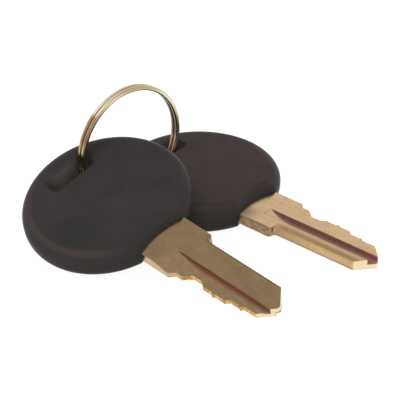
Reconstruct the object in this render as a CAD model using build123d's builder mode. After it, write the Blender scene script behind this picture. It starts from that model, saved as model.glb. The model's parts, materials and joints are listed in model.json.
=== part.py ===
from build123d import *
from math import asin, cos, degrees, hypot, pi, radians, sin, sqrt, tan
import os

# A pair of panel lock keys with moulded plastic heads, hung on a two-turn split ring.
# All sizes are in millimetres, and the keys lie on the plane Z = 0.
# Each key is drawn in a frame of its own: X runs from the middle of the head to the tip,
# Y across the blade with the back edge at +Y and the cuts at -Y, and Z out of face A.

# Head
head_length = 29.1
head_width = 31.2
head_thickness = 5.6
head_rim = 2.5

# Slot in the head for the ring
slot_wall = 3.9
slot_height = 3.6
slot_corner = 1.0
slot_room = 3.4
slot_play = 0.68
slot_edge = 0.4

# Relief on both faces of the head, where the blade comes out, with a flared mouth
relief_radius = 16.0
relief_depth = 1.9
relief_flare = 1.75

# Blade, with its shoulder, which stands at a distance from the end of the head.
# The shoulder is wider on the side of the back edge, and slopes on the side of the cuts.
blade_thickness = 1.85
blade_height = 8.2
blade_length = 20.0
tip_apex_y = 0.64
tip_back_angle = 49.7
tip_cut_angle = 45.5
tip_round = 0.8
shoulder_back = 5.5
shoulder_cut = 5.1
shoulder_length = 6.0
shoulder_step = 0.85
shoulder_slope = 1.0
shoulder_round = 0.6
shoulder_hollow = 0.75

# Bow, the part of the blade that the head is moulded round
bow_wall = 1.75
bow_length = 13.4
bow_width = 16.0
bow_round = 2.0
keying_hole = 3.6
keying_spacing = 6.6

# Cuts in the lower edge of the blade: each number of the code is a depth in steps
cut_first = 1.2
cut_spacing = 2.85
cut_step = 0.35
cut_root = 2.0
cut_angle = 42.0
cut_code = (0, 4, 2, 2, 4, 5)

# Milled profile of the blade, made by disc cutters that lift out near the shoulder
cutter_radius = 22.0
face_a_wall_y = -0.6
face_a_depth = 0.75
face_a_edge_depth = 1.0
face_a_run_out = 2.7
face_b_wall_y = 0.05
face_b_width = 2.1
face_b_depth = 0.8
face_b_run_out = 1.9
bevel_width = 1.0
bevel_depth = 0.12

# Split ring: two turns of flat wire side by side, joined by one crossover
ring_radius = 10.87
wire_width = 0.82
wire_thickness = 0.78
wire_round = 0.22
coil_gap = 0.05
crossover_angle = 44.0
crossover_place = 246.0
crossover_steps = 6

# How the keys lie: the rear key is turned over, and the front key leans on its head
front_turn = 6.5
front_slot_offset = 0.5
front_slot_room = 1.8
rear_turn = 10.7
rear_slot_offset = -0.65
head_play = 1.0
pitch_limit = 30.0
pitch_halvings = 40

# Sizes that follow from the ones above
half_thickness = head_thickness / 2
half_blade = blade_thickness / 2
half_height = blade_height / 2
slot_x = slot_wall + slot_height / 2 - head_length / 2
bow_start = slot_x + slot_height / 2 + bow_wall
bow_end = bow_start + bow_length
relief_start = head_length / 2 - relief_depth
shoulder_back_x = head_length / 2 + shoulder_length
shoulder_cut_x = shoulder_back_x - shoulder_step
tip_reach = shoulder_back_x + blade_length
cut_first_x = shoulder_back_x + cut_first
face_a_full_x = shoulder_back_x + face_a_run_out
face_b_full_x = shoulder_back_x + face_b_run_out
ring_inside = ring_radius - wire_thickness / 2
ring_outside = ring_radius + wire_thickness / 2
ring_height = ring_outside
coil_offset = (wire_width + coil_gap) / 2
tip_back_x = tip_reach - (half_height - tip_apex_y) / tan(radians(tip_back_angle))
tip_cut_x = tip_reach - (half_height + tip_apex_y) / tan(radians(tip_cut_angle))


def wire_reach(height, radius):
    """How far sideways a circle of the ring reaches, at a height above the table."""
    return sqrt(radius**2 - (ring_height - height) ** 2)


def head_low(down, side, level):
    """Lowest point of a tilted head below its middle."""
    rim_tilt = head_rim * hypot(down, side)
    outline = hypot(head_length / 2 * down, head_width / 2 * side)
    return rim_tilt - outline - (half_thickness - head_rim) * level - head_rim


def blade_low(down, side, level):
    """Lowest point of a tilted blade: its apex, or the corner where the last cut runs out."""
    last_root_y = cut_code[-1] * cut_step - half_height
    corner_x = tip_reach - (tip_apex_y - last_root_y) / tan(radians(tip_cut_angle))
    apex_low = tip_apex_y * side - tip_reach * down
    corner_low = last_root_y * side - corner_x * down
    return min(apex_low, corner_low) - half_blade * level


def nose_down(lean):
    """Pitch at which a key that leans sideways has both its head and its tip on the table."""
    low, high = 0.0, pitch_limit
    for _ in range(pitch_halvings):
        pitch = (low + high) / 2
        down = sin(radians(pitch))
        side = cos(radians(pitch)) * sin(radians(lean))
        level = cos(radians(pitch)) * cos(radians(lean))
        if blade_low(down, side, level) > head_low(down, side, level):
            low = pitch
        else:
            high = pitch
    return (low + high) / 2


# The slot is as long as the slanting wire needs in the rear key, and some room more
rear_pitch = nose_down(0)
slot_rise = (head_length / 2 - head_rim - slot_x) * sin(radians(rear_pitch))
wire_near = wire_reach(slot_rise, ring_inside)
wire_far = wire_reach(slot_rise + head_thickness, ring_outside)
slot_length = wire_far - wire_near + slot_room

# Blade and bow
with BuildPart() as blade:
    with BuildSketch(Plane.XY.offset(-half_blade)):
        with BuildLine():
            Polyline(
                (bow_start + bow_round, shoulder_back),
                (shoulder_back_x, shoulder_back),
                (shoulder_back_x, half_height),
                (tip_back_x, half_height),
                (tip_reach, tip_apex_y),
                (tip_cut_x, -half_height),
                (shoulder_cut_x + shoulder_slope, -half_height),
                (shoulder_cut_x, -shoulder_cut),
                (bow_start + bow_round, -shoulder_cut),
                close=True,
            )
        make_face()
        with Locations(((bow_start + bow_end) / 2, 0)):
            RectangleRounded(bow_end - bow_start, bow_width, bow_round)
            with GridLocations(keying_spacing, 0, 2, 1):
                Circle(keying_hole / 2, mode=Mode.SUBTRACT)
    extrude(amount=blade_thickness)
    # Rounded corner of the shoulder, on the side of the back edge, and the hollow under it
    shoulder_edges = blade.edges().filter_by(Axis.Z).filter_by_position(
        Axis.X, shoulder_back_x - shoulder_round, shoulder_back_x + shoulder_round
    )
    hollow_edge, corner_edge = shoulder_edges.sort_by(Axis.Y)[-2:]
    fillet(hollow_edge, shoulder_hollow)
    fillet(corner_edge, shoulder_round)
    fillet(blade.edges().filter_by(Axis.Z).sort_by(Axis.X)[-1], tip_round)
    # Cuts, of which the last one runs out at the tip
    with BuildSketch(Plane.XY.offset(-half_blade)):
        for place, depth_steps in enumerate(cut_code):
            depth = depth_steps * cut_step
            if depth > 0:
                middle = cut_first_x + place * cut_spacing
                root_y = depth - half_height
                flank = (depth + cut_step) / tan(radians(cut_angle))
                last = place == len(cut_code) - 1
                root_end = tip_reach if last else middle + cut_root / 2
                with BuildLine():
                    Polyline(
                        (middle - cut_root / 2, root_y),
                        (root_end, root_y),
                        (root_end + flank, -half_height - cut_step),
                        (middle - cut_root / 2 - flank, -half_height - cut_step),
                        close=True,
                    )
                make_face()
    extrude(amount=blade_thickness, mode=Mode.SUBTRACT)
    # Face A: a step down to the cuts, whose floor falls away from its wall
    face_a_slope = (face_a_depth - face_a_edge_depth) / (half_height + face_a_wall_y)
    face_a_side = -shoulder_cut - cut_step
    for cutter_turn in (False, True):
        with BuildSketch(Plane.YZ.offset(face_a_full_x)):
            with BuildLine():
                Polyline(
                    (face_a_wall_y, half_blade - face_a_depth),
                    (face_a_wall_y, half_blade + face_a_depth),
                    (face_a_side, half_blade + face_a_depth),
                    (
                        face_a_side,
                        half_blade - face_a_depth + face_a_slope * (face_a_wall_y - face_a_side),
                    ),
                    close=True,
                )
            make_face()
        if cutter_turn:
            cutter_z = half_blade - face_a_depth + cutter_radius
            revolve(axis=Axis((face_a_full_x, 0, cutter_z), (0, 1, 0)), mode=Mode.SUBTRACT)
        else:
            extrude(amount=tip_reach - face_a_full_x, mode=Mode.SUBTRACT)
    # Face B: a groove with one steep wall, above a sloping floor
    for cutter_turn in (False, True):
        with BuildSketch(Plane.YZ.offset(face_b_full_x)):
            with BuildLine():
                Polyline(
                    (face_b_wall_y, face_b_depth - half_blade),
                    (face_b_wall_y, -face_b_depth - half_blade),
                    (face_b_wall_y + 2 * face_b_width, -face_b_depth - half_blade),
                    close=True,
                )
            make_face()
        if cutter_turn:
            cutter_z = face_b_depth - half_blade - cutter_radius
            revolve(axis=Axis((face_b_full_x, 0, cutter_z), (0, 1, 0)), mode=Mode.SUBTRACT)
        else:
            extrude(amount=tip_reach - face_b_full_x, mode=Mode.SUBTRACT)
    # Face B: a bevel along the back edge
    with BuildSketch(Plane.YZ.offset(shoulder_back_x)):
        with BuildLine():
            Polyline(
                (half_height - bevel_width, -half_blade),
                (half_height + bevel_width, 2 * bevel_depth - half_blade),
                (half_height + bevel_width, -half_blade - bevel_depth),
                (half_height - bevel_width, -half_blade - bevel_depth),
                close=True,
            )
        make_face()
    extrude(amount=tip_reach - shoulder_back_x, mode=Mode.SUBTRACT)

# Moulded head, with its slot, the two reliefs and the pocket that the bow fills
with BuildPart() as head:
    with BuildSketch(Plane.XY.offset(-half_thickness)):
        Ellipse(head_length / 2, head_width / 2)
    extrude(amount=head_thickness)
    fillet(head.edges().filter_by(GeomType.ELLIPSE), head_rim)
    with BuildSketch(Plane.XY.offset(-half_thickness)):
        with Locations((slot_x, 0)):
            RectangleRounded(slot_height, slot_length, slot_corner)
    extrude(amount=head_thickness, mode=Mode.SUBTRACT)
    slot_mouth = head.edges(Select.LAST).filter_by(Axis.Z, reverse=True)
    fillet(slot_mouth, slot_edge)
    relief_x = relief_start + relief_radius
    for side in (1, -1):
        with BuildSketch(Plane.XZ):
            with BuildLine():
                Line((relief_x, side * half_blade), (relief_start, side * half_blade))
                flare = TangentArc(
                    (relief_start, side * half_blade),
                    (relief_start - relief_flare, side * half_thickness),
                    tangent=(0, side),
                )
                Polyline(
                    flare @ 1,
                    (relief_start - relief_flare, side * head_thickness),
                    (relief_x, side * head_thickness),
                    (relief_x, side * half_blade),
                )
            make_face()
        revolve(axis=Axis((relief_x, 0, 0), (0, 0, 1)), mode=Mode.SUBTRACT)
    add(blade.part, mode=Mode.SUBTRACT)


def wire_section(angle, height):
    """Plane across the wire at an angle round the ring, at a height along the ring's axis."""
    outward = Vector(cos(radians(angle)), sin(radians(angle)), 0)
    along = Vector(-sin(radians(angle)), cos(radians(angle)), 0)
    return Plane(outward * ring_radius + Vector(0, 0, height), x_dir=outward, z_dir=along)


# Split ring, drawn flat round the Z axis
with BuildPart() as ring:
    crossover_start = crossover_place - crossover_angle / 2
    for side in (-1, 1):
        with BuildSketch(wire_section(crossover_start + crossover_angle, side * coil_offset)):
            RectangleRounded(wire_thickness, wire_width, wire_round)
        revolve(axis=Axis.Z, revolution_arc=360 - crossover_angle)
    for step in range(crossover_steps + 1):
        share = step / crossover_steps
        climb = -coil_offset * cos(pi * share)
        with BuildSketch(wire_section(crossover_start + share * crossover_angle, climb)):
            RectangleRounded(wire_thickness, wire_width, wire_round)
    loft()


def lay_key(turn, pitch, roll, slot_offset):
    """Pose of a key on the table, with the middle of its slot on the line Y = 0."""
    tilt = Rot(0, 0, turn) * Rot(0, pitch, 0) * Rot(roll, 0, 0)
    key = Compound(children=[head.part.moved(tilt), blade.part.moved(tilt)])
    height = (tilt * Pos(slot_x, 0, 0)).position.Z - key.bounding_box().min.Z
    return Pos(slot_offset, 0, height) * tilt * Pos(-slot_x, 0, 0)


# The wire lies against the inner end of the rear slot, and near that end of the front slot
rear_slot_y = wire_near - slot_play + slot_length / 2
rear_pose = Pos(0, rear_slot_y, 0) * lay_key(rear_turn, rear_pitch, 180, rear_slot_offset)
front_lean = degrees(asin((head_thickness + head_play) / (2 * ring_radius)))
front_laid = lay_key(front_turn, nose_down(front_lean), front_lean, front_slot_offset)
front_wire_y = wire_reach((front_laid * Pos(slot_x, 0, 0)).position.Z, ring_radius)
front_slot_y = front_wire_y + (slot_length - wire_thickness) / 2 - front_slot_room
front_pose = Pos(0, -front_slot_y, 0) * front_laid
ring_pose = Location(Plane((0, 0, ring_height), x_dir=(0, 1, 0), z_dir=(1, 0, 0)))

placed = (
    ("front_key_head", head, front_pose),
    ("front_key_blade", blade, front_pose),
    ("rear_key_head", head, rear_pose),
    ("rear_key_blade", blade, rear_pose),
    ("split_ring", ring, ring_pose),
)

# The origin is on the table, under the middle of the whole set
whole = Compound(children=[piece.part.moved(pose) for _, piece, pose in placed]).bounding_box()
to_origin = Pos(-whole.center().X, -whole.center().Y, 0)

os.makedirs("parts", exist_ok=True)
for name, piece, pose in placed:
    with BuildPart() as finished:
        add(piece.part.moved(to_origin * pose))
    finished.part.label = name
    export_step(finished.part, f"parts/{name}.step")
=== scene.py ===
import json
from math import cos, radians, sin

import bpy
from mathutils import Matrix, Vector


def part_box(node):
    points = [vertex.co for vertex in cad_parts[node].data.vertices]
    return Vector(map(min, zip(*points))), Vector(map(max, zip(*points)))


# A pair of panel lock keys on a split ring, on a white table. Lengths are in metres,
# except inside the materials, which work in millimetres.

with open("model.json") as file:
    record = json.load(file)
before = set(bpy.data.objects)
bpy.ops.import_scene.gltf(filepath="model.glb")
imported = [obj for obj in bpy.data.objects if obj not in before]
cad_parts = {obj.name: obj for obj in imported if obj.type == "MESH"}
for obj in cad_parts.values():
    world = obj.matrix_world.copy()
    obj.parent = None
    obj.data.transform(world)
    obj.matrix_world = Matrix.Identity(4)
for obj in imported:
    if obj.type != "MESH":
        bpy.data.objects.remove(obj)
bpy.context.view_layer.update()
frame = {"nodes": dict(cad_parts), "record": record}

MM = 0.001
WHITE = (1, 1, 1, 1)
BEVEL_SAMPLES = 4

# Colour sockets of a Mix node, which share their names with its other sockets
MIX_FACTOR, MIX_FIRST, MIX_SECOND, MIX_RESULT = 0, 6, 7, 2

# Sizes of the part that the materials follow, in millimetres. In the frame of a key, X runs
# from its shoulder to its tip, Y across the blade to its back, and Z out of face A.
HEAD_HALF = 2.8
SLOT_X = -29.40
SLOT_HALF_HEIGHT = 1.8
SLOT_HALF_LENGTH = 5.17
SHOULDER_BACK_Y = 5.5
BLADE_HALF = 0.925
STEP_WALL_Y = -0.6
STEP_START = -2.7
GROOVE_LOW_Y = 0.05
GROOVE_HIGH_Y = 2.15
RUN_OUT_X = -3.95
RUN_OUT_Y = GROOVE_HIGH_Y - 0.07
CUT_START = 0.6
TIP_START = 16.9
RING_INSIDE = 10.48

# How far each key is turned about its own length, in degrees
FRONT_LEAN = 17.67
REAR_LEAN = 180.0


class Nodes:
    """Short way to write a node tree: values can be numbers or the outputs of other nodes."""

    def __init__(self, tree):
        self.tree = tree
        tree.nodes.clear()

    def add(self, kind, values=None, **settings):
        node = self.tree.nodes.new(kind)
        for name, value in settings.items():
            setattr(node, name, value)
        for socket, value in (values or {}).items():
            if isinstance(value, bpy.types.NodeSocket):
                self.tree.links.new(value, node.inputs[socket])
            else:
                node.inputs[socket].default_value = value
        return node

    def math(self, operation, first, second=0.0):
        return self.add("ShaderNodeMath", {0: first, 1: second}, operation=operation).outputs[0]

    def vector_math(self, operation, first, second=(0, 0, 0)):
        """Result of a vector operation that gives a single number."""
        node = self.add("ShaderNodeVectorMath", {0: first, 1: second}, operation=operation)
        return node.outputs["Value"]

    def absolute(self, value):
        return self.math("ABSOLUTE", value)

    def distance(self, value, middle):
        return self.absolute(self.math("SUBTRACT", value, middle))

    def product(self, *factors):
        result = factors[0]
        for factor in factors[1:]:
            result = self.math("MULTIPLY", result, factor)
        return result

    def largest(self, *values):
        result = values[0]
        for value in values[1:]:
            result = self.math("MAXIMUM", result, value)
        return result

    def ramp(self, value, begins, full):
        """0 where it begins and 1 where it is full, smooth between, rising or falling."""
        falls = begins > full
        node = self.add(
            "ShaderNodeMapRange",
            {
                "Value": value,
                "From Min": min(begins, full),
                "From Max": max(begins, full),
                "To Min": 1.0 if falls else 0.0,
                "To Max": 0.0 if falls else 1.0,
            },
            interpolation_type="SMOOTHSTEP",
        )
        return node.outputs["Result"]

    def pick(self, factor, first, second):
        """Blend of two numbers."""
        span = self.math("SUBTRACT", second, first)
        return self.math("ADD", first, self.math("MULTIPLY", factor, span))

    def mix(self, factor, first, second):
        """Blend of two colours."""
        values = {MIX_FACTOR: factor, MIX_FIRST: first, MIX_SECOND: second}
        return self.add("ShaderNodeMix", values, data_type="RGBA").outputs[MIX_RESULT]

    def coat(self, base, colour, *masks):
        """A colour laid over another one, as strongly as the product of the masks."""
        return self.mix(self.product(*masks), base, colour)

    def facing(self, axis):
        """How squarely the surface faces along an axis of the object, either way."""
        normal = self.add("ShaderNodeTexCoord").outputs["Normal"]
        return self.absolute(self.vector_math("DOT_PRODUCT", normal, axis))

    def noise(self, vector, scale, detail):
        node = self.add("ShaderNodeTexNoise", {"Vector": vector, "Scale": scale, "Detail": detail})
        return node.outputs["Fac"]

    def placed(self, matrix):
        """Place on the surface in millimetres, in the frame that the matrix gives."""
        here = self.add("ShaderNodeTexCoord").outputs["Object"]
        values = {
            "Vector": here,
            "Location": matrix.to_translation(),
            "Rotation": matrix.to_euler(),
            "Scale": (MM, MM, MM),
        }
        return self.add("ShaderNodeMapping", values, vector_type="TEXTURE").outputs[0]

    def stretched(self, vector, along, across):
        """The same place, scaled so that a texture runs out into streaks."""
        values = {"Vector": vector, "Scale": (along, across, across)}
        return self.add("ShaderNodeMapping", values).outputs[0]

    def split(self, vector):
        return tuple(self.add("ShaderNodeSeparateXYZ", {0: vector}).outputs)

    def bump(self, height, strength, depth, edge=0.0):
        """Fine relief, over edges that are rounded by the given radius."""
        values = {"Height": height, "Strength": strength, "Distance": depth * MM}
        if edge:
            bevel = self.add("ShaderNodeBevel", {"Radius": edge * MM}, samples=BEVEL_SAMPLES)
            values["Normal"] = bevel.outputs[0]
        return self.add("ShaderNodeBump", values).outputs[0]

    def surface(self, **values):
        """A Principled surface: words in its input names are joined with underscores here."""
        named = {name.replace("_", " "): value for name, value in values.items()}
        shader = self.add("ShaderNodeBsdfPrincipled", named)
        self.add("ShaderNodeOutputMaterial", {"Surface": shader.outputs[0]})


def material(name):
    made = bpy.data.materials.new(name)
    made.use_nodes = True
    return made, Nodes(made.node_tree)


def dress(node_name, made):
    piece = frame["nodes"][node_name]
    piece.data.materials.clear()
    piece.data.materials.append(made)


def key_frame(mount_name, lean):
    """Frame of a key at its shoulder: X to the tip, Z out of face A, turned by its lean."""
    mount = next(m for m in frame["record"]["mounts"] if m["name"] == mount_name)
    along = -Vector(mount["axis"]).normalized()
    side = Vector((0, 0, 1)).cross(along).normalized()
    face = along.cross(side)
    turn = radians(lean)
    leaning_face = face * cos(turn) - side * sin(turn)
    leaning_side = leaning_face.cross(along)
    axes = Matrix((along, leaning_side, leaning_face)).transposed().to_4x4()
    return Matrix.Translation(Vector(mount["pos_m"])) @ axes


def ring_frame():
    low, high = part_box("split_ring")
    return Matrix.Translation((low + high) / 2)


# In the values of the materials, a pair of limits says where a mark begins and where it is
# full, a share how strongly it is laid on, and a scale how fine a texture is.


def slot_mask(nodes, place, margin, depth):
    """Slot of a head, by the margin round its walls and the depth under the face."""
    along, across, out = nodes.split(place)
    return nodes.product(
        nodes.ramp(nodes.distance(along, SLOT_X), *(SLOT_HALF_HEIGHT + m for m in margin)),
        nodes.ramp(nodes.absolute(across), *(SLOT_HALF_LENGTH + m for m in margin)),
        nodes.ramp(nodes.absolute(out), *(HEAD_HALF - d for d in depth)),
    )


# Black moulded plastic, satin, with a fine grain and a parting line round the rim. The two
# tones of each head drift into each other on its faces. A highlight is painted on the low part of
# the rim, and the slot is painted lighter against its shade.
FRONT_TONES = ((0.038, 0.0355, 0.034, 1), (0.048, 0.042, 0.041, 1))
REAR_TONES = ((0.043, 0.034, 0.0315, 1), (0.058, 0.040, 0.037, 1))
PLASTIC_SIDE = (0.0395, 0.0365, 0.0360, 1)
PLASTIC_RIM_HIGHLIGHT = (0.060, 0.048, 0.045, 1)
SLOT_WALL_PAINTED_LIGHT = (0.150, 0.135, 0.130, 1)
SLOT_END_PAINTED_LIGHT = (0.085, 0.076, 0.072, 1)
SLOT_EDGE_PAINTED_LIGHT = (0.070, 0.062, 0.060, 1)
PLASTIC_GLOSS = 0.03
PLASTIC_ROUGHNESS = (0.26, 0.38)
PLASTIC_RELIEF = 0.10
PLASTIC_RELIEF_DEPTH = 0.05
TONE_SCALE = 0.16
TONE_DETAIL = 4.0
TONE_LIMITS = (0.30, 0.70)
GRAIN_SCALE = 5.0
GRAIN_DETAIL = 2.0
PARTING_HEIGHT = (0.07, 0.02)

# The rounded rim, by the cosine of how far its surface has turned away from the face
FACE_TURN = (0.45, 0.90)
FACE_EDGE_INNER = (0.995, 0.95)
FACE_EDGE_OUTER = (0.60, 0.85)
RIM_SIDE_TURN = (0.85, 0.40)
RIM_SIDE_SHARE = 0.35
RIM_LOW_PART = (6.0, 12.0)

# The slot and its rounded edge, painted lighter against their shade: margins round its walls, and
# depths under the face
SLOT_WALL_MARGIN = (0.12, 0.02)
SLOT_WALL_DEPTH = (0.2, 0.8)
SLOT_END_PART = (-1.0, -4.5)
SLOT_EDGE_MARGIN = (0.42, 0.25)
SLOT_EDGE_DEPTH = (0.01, 0.15)
SLOT_EDGE_BEYOND = (-0.10, 0.05)


def slot_edge_light_mask(nodes, place):
    """Rounded edge of the slot, on its outer side and at its back end, painted lighter against its
    shade.
    """
    along, across, _ = nodes.split(place)
    past_side = nodes.math("SUBTRACT", SLOT_X - SLOT_HALF_HEIGHT, along)
    past_end = nodes.math("SUBTRACT", across, SLOT_HALF_LENGTH)
    sides = (nodes.ramp(past, *SLOT_EDGE_BEYOND) for past in (past_side, past_end))
    around = slot_mask(nodes, place, SLOT_EDGE_MARGIN, SLOT_EDGE_DEPTH)
    return nodes.product(around, nodes.largest(*sides))


def rim_highlight_mask(nodes, squarely, across, low_side):
    """Painted highlight on the low part of the rim, strongest where the face rounds off."""
    face_edge = nodes.product(
        nodes.ramp(squarely, *FACE_EDGE_INNER),
        nodes.ramp(squarely, *FACE_EDGE_OUTER),
    )
    rim_side = nodes.product(nodes.ramp(squarely, *RIM_SIDE_TURN), RIM_SIDE_SHARE)
    low_part = nodes.ramp(nodes.product(across, low_side), *RIM_LOW_PART)
    return nodes.product(nodes.largest(face_edge, rim_side), low_part)


def plastic(name, matrix, low_side, tones):
    """Look of a head. Its rim has a painted highlight on the low side of the key, -1 or 1 along Y.
    """
    made, nodes = material(name)
    place = nodes.placed(matrix)
    _, across, out = nodes.split(place)
    drift = nodes.noise(place, TONE_SCALE, TONE_DETAIL)
    grain = nodes.noise(place, GRAIN_SCALE, GRAIN_DETAIL)
    parting = nodes.ramp(nodes.absolute(out), *PARTING_HEIGHT)
    squarely = nodes.facing(matrix.col[2].to_3d())
    face = nodes.mix(nodes.ramp(drift, *TONE_LIMITS), *tones)
    # The slot's walls are painted lighter against their shade, less so towards one end
    slot = nodes.mix(nodes.ramp(across, *SLOT_END_PART), SLOT_WALL_PAINTED_LIGHT, SLOT_END_PAINTED_LIGHT)
    in_slot = slot_mask(nodes, place, SLOT_WALL_MARGIN, SLOT_WALL_DEPTH)

    colour = nodes.coat(PLASTIC_SIDE, face, nodes.ramp(squarely, *FACE_TURN))
    # Painted highlight on the low part of the rim
    colour = nodes.coat(colour, PLASTIC_RIM_HIGHLIGHT, rim_highlight_mask(nodes, squarely, across, low_side))
    # Painted light on the slot's rounded edge, against its shade
    colour = nodes.coat(colour, SLOT_EDGE_PAINTED_LIGHT, slot_edge_light_mask(nodes, place))
    colour = nodes.coat(colour, slot, in_slot)
    relief = nodes.math("ADD", grain, parting)
    nodes.surface(
        Base_Color=colour,
        Roughness=nodes.pick(drift, *PLASTIC_ROUGHNESS),
        Specular_IOR_Level=PLASTIC_GLOSS,
        Normal=nodes.bump(relief, PLASTIC_RELIEF, PLASTIC_RELIEF_DEPTH),
    )
    return made


# Brass blade: bright rolled faces, brushed along the blade, with milled grooves, the one in face B
# stained and the step in face A with painted shade at its foot, painted shade on the land and
# beside the head, deeper gold where the cuts were made, and pale freshly cut ends at the tip
BRASS_PALE = (0.655, 0.465, 0.255, 1)
BRASS_DEEP = (0.53, 0.36, 0.190, 1)
BRASS_WARM = (0.60, 0.37, 0.20, 1)
BRASS_STAIN = (0.29, 0.125, 0.095, 1)
BRASS_STAIN_DEEP = (0.17, 0.080, 0.055, 1)
BRASS_SHADE = (0.17, 0.045, 0.033, 1)
BRASS_DULL = (0.34, 0.22, 0.11, 1)
BRASS_GRIME_AND_SHADE = (0.155, 0.105, 0.060, 1)
BRASS_FLECK = (0.58, 0.30, 0.11, 1)
BRASS_LAND_SHADE = (0.49, 0.315, 0.160, 1)
BRASS_CUT = (0.44, 0.20, 0.065, 1)
BRASS_CUT_BRIGHT = (0.78, 0.45, 0.11, 1)
BRASS_TIP = (0.86, 0.70, 0.46, 1)
BRASS_ROUGHNESS = (0.14, 0.30)
BRASS_RELIEF = 0.12
BRASS_RELIEF_DEPTH = 0.04
BRASS_EDGE = 0.09
STREAK_SCALES = (0.25, 7.0)
STREAK_DETAIL = 4.0
BRASS_CLOUD_SCALE = 0.5
BRASS_CLOUD_DETAIL = 4.0
BLOTCH_SCALE = 1.3
BLOTCH_DETAIL = 3.0
MOTTLE_LIMITS = (0.30, 0.70)
WARM_BLOTCH = (0.50, 0.75)
WARM_SHARE = 0.6

# Stain in the groove of face B, from just under the face to the middle of the blade's thickness,
# with a margin on the groove's two sides
GROOVE_DEPTH = (0.005, 0.03)
GROOVE_MIDDLE = (0.0, -0.02)
GROOVE_LOW_MARGIN = (0.10, 0.04)
GROOVE_HIGH_MARGIN = (0.10, -0.02)
GROOVE_DEEPER = (1.1, 2.1)
GROOVE_SHARE = 0.97
STAIN_AND_SHADE_METAL = 0.25
STAIN_AND_SHADE_ROUGHNESS = 0.25

# Painted shade at the foot of the step in face A, and painted shade along the edge over it. The
# shade starts as a thin line and widens along the blade.
STEP_DEPTH = (0.02, 0.08)
STEP_MIDDLE = (-0.4, -0.1)
STEP_NEAR_WALL = (-0.06, -0.02)
STEP_FAR_WALL = (1.5, 0.1)
STEP_WIDTHS = (0.18, 1.0)
STEP_WIDENING = 6.5
STEP_EDGE_DEPTH = (0.05, 0.02)
STEP_EDGE_BEHIND = (-0.16, -0.08)
STEP_EDGE_BEFORE = (0.10, 0.02)
STEP_EDGE_FADE = 1.5
STEP_SHARE = 0.9

# Walls round the blade, by the cosine of how far they have turned from its faces, and the
# parts of them: the tip, the cuts and the back
WALL_TURN = (0.6, 0.3)
TIP_FADE = 0.3
CUT_ACROSS = (-1.8, -2.4)
CUT_FADE = 0.8
CUT_BLOTCH = (0.15, 0.4)
CUT_GOLD = (0.45, 0.56)
BACK_ACROSS = (3.6, 3.9)
BACK_ALONG = (11.0, -1.0)
BACK_SHARES = (0.5, 1.0)
FLECK_ALONG = (0.5, 2.0)
FLECK_BLOTCH = (0.50, 0.62)
FLECK_SHARE = 0.55

# Narrow land beside the groove of face B, and the bevel beyond it, painted darker as their shade
LAND_OUT = (-0.4, -0.7)
LAND_ACROSS = (2.0, 2.3)
LAND_ALONG = (0.0, 2.0)
LAND_SHARE = 0.8

# Thin dark lines: the outline where the cutter of the groove ran out on face B, which has the
# half width, the ends and the fading along the blade given here, and the back edge of face A
LINE_HALF = (0.13, 0.05)
LINE_END = 0.1
LINE_FADE = (1.5, 0.0)
ON_FACE_B = (-0.85, -0.91)
RUN_OUT_SHARE = 0.45
BACK_EDGE_OUT = (0.5, 0.85)
BACK_EDGE_ACROSS = (3.78, 4.0)
BACK_EDGE_ALONG = (-1.0, 1.0)
BACK_EDGE_SHARE = 0.6

# Grime on the shoulder's side, a dark line along its back edge, and painted shade beside the head
SHOULDER_SIDE_ALONG = (0.2, -0.4)
SHOULDER_SIDE_BLOTCH = (0.40, 0.60)
SHOULDER_SIDE_SHARES = (1.0, 0.25)
GRIME_AND_SHADE_OUT = (-0.5, -0.8)
SHOULDER_EDGE_ACROSS = (SHOULDER_BACK_Y - 0.45, SHOULDER_BACK_Y - 0.15)
SHOULDER_EDGE_ALONG = (0.0, -1.0)
BESIDE_HEAD_ACROSS = (0.5, 4.0)
BESIDE_HEAD_ALONG = (-3.0, -7.0)
GRIME_AND_SHADE_SHARE = 0.75


def groove_mask(nodes, across, out):
    below_face_b = nodes.math("ADD", out, BLADE_HALF)
    return nodes.product(
        nodes.ramp(below_face_b, *GROOVE_DEPTH),
        nodes.ramp(out, *GROOVE_MIDDLE),
        nodes.ramp(across, *(GROOVE_LOW_Y - m for m in GROOVE_LOW_MARGIN)),
        nodes.ramp(across, *(GROOVE_HIGH_Y + m for m in GROOVE_HIGH_MARGIN)),
    )


def step_shade_mask(nodes, along, across, out):
    from_wall = nodes.math("SUBTRACT", STEP_WALL_Y, across)
    below_face_a = nodes.math("SUBTRACT", BLADE_HALF, out)
    widening = nodes.ramp(along, STEP_START, STEP_START + STEP_WIDENING)
    width = nodes.pick(widening, *STEP_WIDTHS)
    foot = nodes.product(
        nodes.ramp(below_face_a, *STEP_DEPTH),
        nodes.ramp(out, *STEP_MIDDLE),
        nodes.ramp(from_wall, *STEP_NEAR_WALL),
        nodes.ramp(nodes.math("DIVIDE", from_wall, width), *STEP_FAR_WALL),
    )
    edge = nodes.product(
        nodes.ramp(below_face_a, *STEP_EDGE_DEPTH),
        nodes.ramp(from_wall, *STEP_EDGE_BEHIND),
        nodes.ramp(from_wall, *STEP_EDGE_BEFORE),
        nodes.ramp(along, STEP_START, STEP_START + STEP_EDGE_FADE),
    )
    return nodes.product(nodes.largest(foot, edge), STEP_SHARE)


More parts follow.
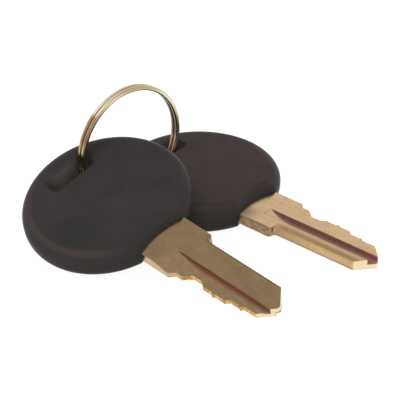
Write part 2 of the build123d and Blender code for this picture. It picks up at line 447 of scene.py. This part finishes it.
def line_mask(nodes, along, across, out):
    """Outline of the cutter's run-out, a side and an end, and the back edge of face A."""
    run_out_side = nodes.product(
        nodes.ramp(nodes.distance(across, RUN_OUT_Y), *LINE_HALF),
        nodes.ramp(along, RUN_OUT_X - LINE_END, RUN_OUT_X),
        nodes.ramp(along, *LINE_FADE),
    )
    run_out_end = nodes.product(
        nodes.ramp(nodes.distance(along, RUN_OUT_X), *LINE_HALF),
        nodes.ramp(across, GROOVE_LOW_Y - LINE_END, GROOVE_LOW_Y),
        nodes.ramp(across, GROOVE_HIGH_Y, GROOVE_HIGH_Y - LINE_END),
    )
    run_out = nodes.largest(run_out_side, run_out_end)
    back_edge = nodes.product(
        nodes.ramp(out, *BACK_EDGE_OUT),
        nodes.ramp(across, *BACK_EDGE_ACROSS),
        nodes.ramp(along, *BACK_EDGE_ALONG),
    )
    return nodes.largest(
        nodes.product(nodes.ramp(out, *ON_FACE_B), run_out, RUN_OUT_SHARE),
        nodes.product(back_edge, BACK_EDGE_SHARE),
    )


def grime_and_shade_mask(nodes, along, across, out, at_back, blotch):
    patches = nodes.ramp(blotch, *SHOULDER_SIDE_BLOTCH)
    shoulder_side = nodes.product(
        at_back,
        nodes.ramp(along, *SHOULDER_SIDE_ALONG),
        nodes.pick(patches, *SHOULDER_SIDE_SHARES),
    )
    near_face_b = nodes.ramp(out, *GRIME_AND_SHADE_OUT)
    shoulder_edge = nodes.product(
        near_face_b,
        nodes.ramp(across, *SHOULDER_EDGE_ACROSS),
        nodes.ramp(along, *SHOULDER_EDGE_ALONG),
    )
    # Painted shade on face B beside the head
    beside_head = nodes.product(
        near_face_b,
        nodes.ramp(across, *BESIDE_HEAD_ACROSS),
        nodes.ramp(along, *BESIDE_HEAD_ALONG),
    )
    return nodes.largest(shoulder_side, shoulder_edge, beside_head)


def brass(name, matrix):
    made, nodes = material(name)
    place = nodes.placed(matrix)
    along, across, out = nodes.split(place)
    streaks = nodes.noise(nodes.stretched(place, *STREAK_SCALES), 1.0, STREAK_DETAIL)
    cloud = nodes.noise(place, BRASS_CLOUD_SCALE, BRASS_CLOUD_DETAIL)
    blotch = nodes.noise(place, BLOTCH_SCALE, BLOTCH_DETAIL)
    groove = groove_mask(nodes, across, out)
    step = step_shade_mask(nodes, along, across, out)
    # Stained groove and painted shade at the step, both less metallic and rougher
    stain_and_shade = nodes.largest(groove, step)

    wall = nodes.ramp(nodes.facing(matrix.col[2].to_3d()), *WALL_TURN)
    back_wall = nodes.product(wall, nodes.ramp(across, *BACK_ACROSS))
    at_back = nodes.product(back_wall, nodes.ramp(along, *BACK_ALONG))
    at_cuts = nodes.product(
        wall,
        nodes.ramp(across, *CUT_ACROSS),
        nodes.ramp(along, CUT_START, CUT_START + CUT_FADE),
    )
    at_tip = nodes.product(wall, nodes.ramp(along, TIP_START, TIP_START + TIP_FADE))
    land = nodes.product(
        nodes.ramp(out, *LAND_OUT),
        nodes.ramp(across, *LAND_ACROSS),
        nodes.ramp(along, *LAND_ALONG),
    )
    flecks = nodes.product(
        back_wall,
        nodes.ramp(along, *FLECK_ALONG),
        nodes.ramp(blotch, *FLECK_BLOTCH),
    )
    grime_and_shade = grime_and_shade_mask(nodes, along, across, out, at_back, blotch)
    gold = nodes.mix(nodes.ramp(blotch, *CUT_GOLD), BRASS_CUT, BRASS_CUT_BRIGHT)
    groove_floor = nodes.mix(nodes.ramp(across, *GROOVE_DEEPER), BRASS_STAIN, BRASS_STAIN_DEEP)

    mean = nodes.product(nodes.math("ADD", streaks, cloud), 0.5)
    colour = nodes.mix(nodes.ramp(mean, *MOTTLE_LIMITS), BRASS_DEEP, BRASS_PALE)
    colour = nodes.coat(colour, BRASS_WARM, nodes.ramp(blotch, *WARM_BLOTCH), WARM_SHARE)
    # Land and bevel painted darker as shade
    colour = nodes.coat(colour, BRASS_LAND_SHADE, land, LAND_SHARE)
    colour = nodes.coat(colour, BRASS_DULL, at_back, nodes.pick(blotch, *BACK_SHARES))
    colour = nodes.coat(colour, BRASS_FLECK, flecks, FLECK_SHARE)
    colour = nodes.coat(colour, BRASS_GRIME_AND_SHADE, line_mask(nodes, along, across, out))
    # Grime, a dark line and painted shade beside the head
    colour = nodes.coat(colour, BRASS_GRIME_AND_SHADE, grime_and_shade, GRIME_AND_SHADE_SHARE)
    colour = nodes.coat(colour, gold, at_cuts, nodes.ramp(blotch, *CUT_BLOTCH))
    colour = nodes.coat(colour, BRASS_TIP, at_tip)
    colour = nodes.coat(colour, groove_floor, groove, GROOVE_SHARE)
    # Painted shade at the step in face A
    colour = nodes.coat(colour, BRASS_SHADE, step)
    clean_roughness = nodes.pick(streaks, *BRASS_ROUGHNESS)
    nodes.surface(
        Base_Color=colour,
        Metallic=nodes.pick(stain_and_shade, 1.0, STAIN_AND_SHADE_METAL),
        Roughness=nodes.math("ADD", clean_roughness, nodes.product(stain_and_shade, STAIN_AND_SHADE_ROUGHNESS)),
        Normal=nodes.bump(streaks, BRASS_RELIEF, BRASS_RELIEF_DEPTH, edge=BRASS_EDGE),
    )
    return made


# Plated spring wire, gold, with painted light and shade: painted highlights of pale gold, painted
# shade on its rounded corners, a painted copper reflection low on its outer side, painted brown
# shade on its inner face, and painted shade where it lies in the slots of the heads. The limits are
# in the ring's own frame, from its middle: X along its axis, Y to the rear key and Z up.
PLATING_HIGHLIGHT = (0.92, 0.82, 0.62, 1)
PLATING_WARM = (0.52, 0.40, 0.23, 1)
WIRE_CORNER_SHADE = (0.12, 0.08, 0.05, 1)
WIRE_SHADED = (0.045, 0.032, 0.025, 1)
WIRE_ROSE_REFLECTION = (0.36, 0.21, 0.15, 1)
WIRE_BROWN_SHADE = (0.075, 0.038, 0.032, 1)
WIRE_COPPER_REFLECTION = (0.42, 0.185, 0.075, 1)
WIRE_INSIDE_SHADE = (0.09, 0.06, 0.04, 1)
WIRE_METAL = 1.0
WIRE_ROUGHNESS = (0.14, 0.26)
WIRE_RELIEF = 0.10
WIRE_RELIEF_DEPTH = 0.03
WIRE_CLOUD_SCALE = 0.45
WIRE_CLOUD_DETAIL = 4.0
FINE_SCALES = (9.0, 1.2)
FINE_DETAIL = 3.0
FINE_SHARE = 0.35

# Painted shade on the corners of the flat wire, which face neither along the ring's axis nor away
# from it. It and the painted shade in the seam between the turns are fainter over the top of the
# ring.
CORNER_TURN_LOW = (0.15, 0.45)
CORNER_TURN_HIGH = (0.98, 0.85)
CORNER_SHARES = (0.25, 0.85)
SEAM_HALF = (0.10, 0.05)
BELOW_TOP = (10.4, 8.8)

# Parts of the ring, by place, where light and shade are painted: paler plating as a highlight, a
# copper reflection, shade on the inner face, a rose reflection and brown shade lower down on the
# side of the rear key, and shade on the stretches in the slots
HIGHLIGHT_LEFT_Y = (0.5, -4.5)
HIGHLIGHT_LEFT_Z = (4.0, 6.5)
HIGHLIGHT_RIGHT_Y = (4.0, 8.0)
COPPER_Y = (-5.0, -6.5)
COPPER_UPPER_Z = (8.6, 7.8)
COPPER_LOWER_Z = (2.6, 4.4)
COPPER_TURN = (0.85, 0.55)
COPPER_SHARES = (0.75, 1.0)

INSIDE_RADIUS = (RING_INSIDE + 0.14, RING_INSIDE + 0.03)
INSIDE_SEAM_HALF = (0.34, 0.24)
INSIDE_SEAM_RADIUS = (RING_INSIDE + 0.42, RING_INSIDE + 0.26)
INSIDE_SHARE = 0.9
ROSE_Y = (7.0, 9.0)
ROSE_Z = (-0.8, -2.5)
BROWN_Y = (6.0, 8.0)
BROWN_Z = (-2.2, -5.5)
BROWN_SHARE = 0.85
IN_SLOT_MARGIN = (1.0, 0.0)
IN_SLOT_DEPTH = (1.8, 2.7)
IN_SLOT_SHARE = 0.85


def corner_shade_mask(nodes, sideways, x, z):
    """Painted shade on the corners of the wire and in the seam between its turns."""
    low_enough = nodes.ramp(z, *BELOW_TOP)
    corners = nodes.product(
        nodes.ramp(sideways, *CORNER_TURN_LOW),
        nodes.ramp(sideways, *CORNER_TURN_HIGH),
        nodes.pick(low_enough, *CORNER_SHARES),
    )
    seam = nodes.product(nodes.ramp(nodes.absolute(x), *SEAM_HALF), low_enough)
    return nodes.largest(corners, seam)


def inside_shade_mask(nodes, radius, x):
    """Painted shade on the inner face of the ring, a little deeper between the turns."""
    seam = nodes.product(
        nodes.ramp(nodes.absolute(x), *INSIDE_SEAM_HALF),
        nodes.ramp(radius, *INSIDE_SEAM_RADIUS),
    )
    return nodes.largest(nodes.ramp(radius, *INSIDE_RADIUS), seam)


def plated_wire(name, matrix, key_frames):
    made, nodes = material(name)
    place = nodes.placed(matrix)
    x, y, z = nodes.split(place)
    outward = nodes.add("ShaderNodeCombineXYZ", {"Y": y, "Z": z}).outputs[0]
    radius = nodes.vector_math("LENGTH", outward)
    sideways = nodes.facing((1, 0, 0))
    cloud = nodes.noise(place, WIRE_CLOUD_SCALE, WIRE_CLOUD_DETAIL)
    fine = nodes.noise(nodes.stretched(place, *FINE_SCALES), 1.0, FINE_DETAIL)
    upper_left = nodes.product(nodes.ramp(y, *HIGHLIGHT_LEFT_Y), nodes.ramp(z, *HIGHLIGHT_LEFT_Z))
    pale = nodes.largest(upper_left, nodes.ramp(y, *HIGHLIGHT_RIGHT_Y))
    copper_reflection = nodes.product(
        nodes.ramp(y, *COPPER_Y),
        nodes.ramp(z, *COPPER_UPPER_Z),
        nodes.ramp(z, *COPPER_LOWER_Z),
        nodes.ramp(sideways, *COPPER_TURN),
        nodes.pick(cloud, *COPPER_SHARES),
    )
    rosy = nodes.product(nodes.ramp(y, *ROSE_Y), nodes.ramp(z, *ROSE_Z))
    inner = nodes.mix(rosy, WIRE_INSIDE_SHADE, WIRE_ROSE_REFLECTION)
    brown_shade = nodes.product(nodes.ramp(y, *BROWN_Y), nodes.ramp(z, *BROWN_Z))
    in_slots = nodes.largest(*(
        slot_mask(nodes, nodes.placed(key), IN_SLOT_MARGIN, IN_SLOT_DEPTH) for key in key_frames
    ))

    # Painted highlights: paler plating on the upper left and on the right
    colour = nodes.mix(pale, PLATING_WARM, PLATING_HIGHLIGHT)
    colour = nodes.coat(colour, PLATING_WARM, fine, FINE_SHARE)
    # Painted copper reflection low on the outer side
    colour = nodes.coat(colour, WIRE_COPPER_REFLECTION, copper_reflection)
    # Painted shade on the corners and in the seam
    colour = nodes.coat(colour, WIRE_CORNER_SHADE, corner_shade_mask(nodes, sideways, x, z))
    # Painted shade on the inner face, with a painted rose reflection low on the rear key's side
    colour = nodes.coat(colour, inner, inside_shade_mask(nodes, radius, x), INSIDE_SHARE)
    # Painted brown shade lower down on the rear key's side
    colour = nodes.coat(colour, WIRE_BROWN_SHADE, brown_shade, BROWN_SHARE)
    # Painted shade where the wire lies in the slots
    colour = nodes.coat(colour, WIRE_SHADED, in_slots, IN_SLOT_SHARE)
    nodes.surface(
        Base_Color=colour,
        Metallic=WIRE_METAL,
        Roughness=nodes.pick(cloud, *WIRE_ROUGHNESS),
        Normal=nodes.bump(fine, WIRE_RELIEF, WIRE_RELIEF_DEPTH),
    )
    return made


front_frame = key_frame("front_blade_entry", FRONT_LEAN)
rear_frame = key_frame("rear_blade_entry", REAR_LEAN)
dress("front_key_head", plastic("front_head_plastic", front_frame, -1, FRONT_TONES))
dress("rear_key_head", plastic("rear_head_plastic", rear_frame, 1, REAR_TONES))
dress("front_key_blade", brass("front_blade_brass", front_frame))
dress("rear_key_blade", brass("rear_blade_brass", rear_frame))
dress("split_ring", plated_wire("split_ring_wire", ring_frame(), (front_frame, rear_frame)))

# White table, which keeps a soft shadow: seen directly it glows, and only part of it is lit
TABLE_SIZE = 3.0
TABLE_DROP = 0.00002
TABLE_GLOW = 0.93
TABLE_GLOW_IN_GLOSS = 0.90
TABLE_LIT = (0.8, 0.8, 0.8, 1)
TABLE_LIT_SEEN = (0.20, 0.20, 0.20, 1)


def white_table():
    bpy.ops.mesh.primitive_plane_add(size=TABLE_SIZE, location=(0, 0, -TABLE_DROP))
    table = bpy.context.object
    table.name = "table_top"
    made, nodes = material("table_white")
    rays = nodes.add("ShaderNodeLightPath").outputs
    direct, glossy = rays["Is Camera Ray"], rays["Is Glossy Ray"]
    glowing = nodes.math(
        "ADD",
        nodes.product(direct, TABLE_GLOW),
        nodes.product(glossy, TABLE_GLOW_IN_GLOSS),
    )
    lit = nodes.mix(nodes.largest(direct, glossy), TABLE_LIT, TABLE_LIT_SEEN)
    diffuse = nodes.add("ShaderNodeBsdfDiffuse", {"Color": lit}).outputs[0]
    glow = nodes.add("ShaderNodeEmission", {"Strength": glowing}).outputs[0]
    both = nodes.add("ShaderNodeAddShader", {0: diffuse, 1: glow}).outputs[0]
    nodes.add("ShaderNodeOutputMaterial", {"Surface": both})
    table.data.materials.append(made)


# Studio round the object: even, with a dim panel overhead and a soft box; white where seen directly
SKY_LEVEL = 1.0
PANELS = (
    # direction, cosine where it begins, cosine where it is full, strength added
    ((-0.20, 0.13, 0.97), 0.80, 0.90, -0.62),
    ((-0.05, -0.43, 0.90), 0.95, 0.985, 2.0),
)


def studio():
    world = bpy.data.worlds.new("studio")
    bpy.context.scene.world = world
    world.use_nodes = True
    nodes = Nodes(world.node_tree)
    direct = nodes.add("ShaderNodeLightPath").outputs["Is Camera Ray"]
    where = nodes.add("ShaderNodeTexCoord").outputs["Generated"]
    level = SKY_LEVEL
    for direction, begins, full, strength in PANELS:
        facing = nodes.vector_math("DOT_PRODUCT", where, Vector(direction).normalized())
        panel = nodes.product(nodes.ramp(facing, begins, full), strength)
        level = nodes.math("ADD", level, panel)
    around = nodes.add("ShaderNodeBackground", {"Color": WHITE, "Strength": level}).outputs[0]
    behind = nodes.add("ShaderNodeBackground", {"Color": WHITE, "Strength": SKY_LEVEL}).outputs[0]
    both = nodes.add("ShaderNodeMixShader", {0: direct, 1: around, 2: behind}).outputs[0]
    nodes.add("ShaderNodeOutputWorld", {"Surface": both})


# Camera, fitted to the outlines in the photo. Its place is measured from the point of the table
# that is under the ring's middle.
CAMERA_PLACE_MM = (278.755, -218.805, 194.122)
CAMERA_FORWARD = (-0.66953, 0.56551, -0.48159)
CAMERA_RIGHT = (0.64778, 0.76180, -0.00603)
FOCAL_MM = 198.0
SENSOR_MM = 36.0
CLIP_END = 10


def photo_camera():
    low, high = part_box("split_ring")
    ring_foot = Vector(((low.x + high.x) / 2, (low.y + high.y) / 2, 0))
    forward = Vector(CAMERA_FORWARD).normalized()
    right = Vector(CAMERA_RIGHT)
    right = (right - forward * right.dot(forward)).normalized()
    up = right.cross(forward)
    data = bpy.data.cameras.new("photo_camera")
    data.lens = FOCAL_MM
    data.sensor_width = SENSOR_MM
    data.clip_end = CLIP_END
    camera = bpy.data.objects.new("photo_camera", data)
    bpy.context.scene.collection.objects.link(camera)
    turned = Matrix((right, up, -forward)).transposed().to_4x4()
    camera.matrix_world = Matrix.Translation(ring_foot + Vector(CAMERA_PLACE_MM) * MM) @ turned
    bpy.context.scene.camera = camera


white_table()
studio()
photo_camera()
bpy.context.scene.view_settings.view_transform = "Standard"
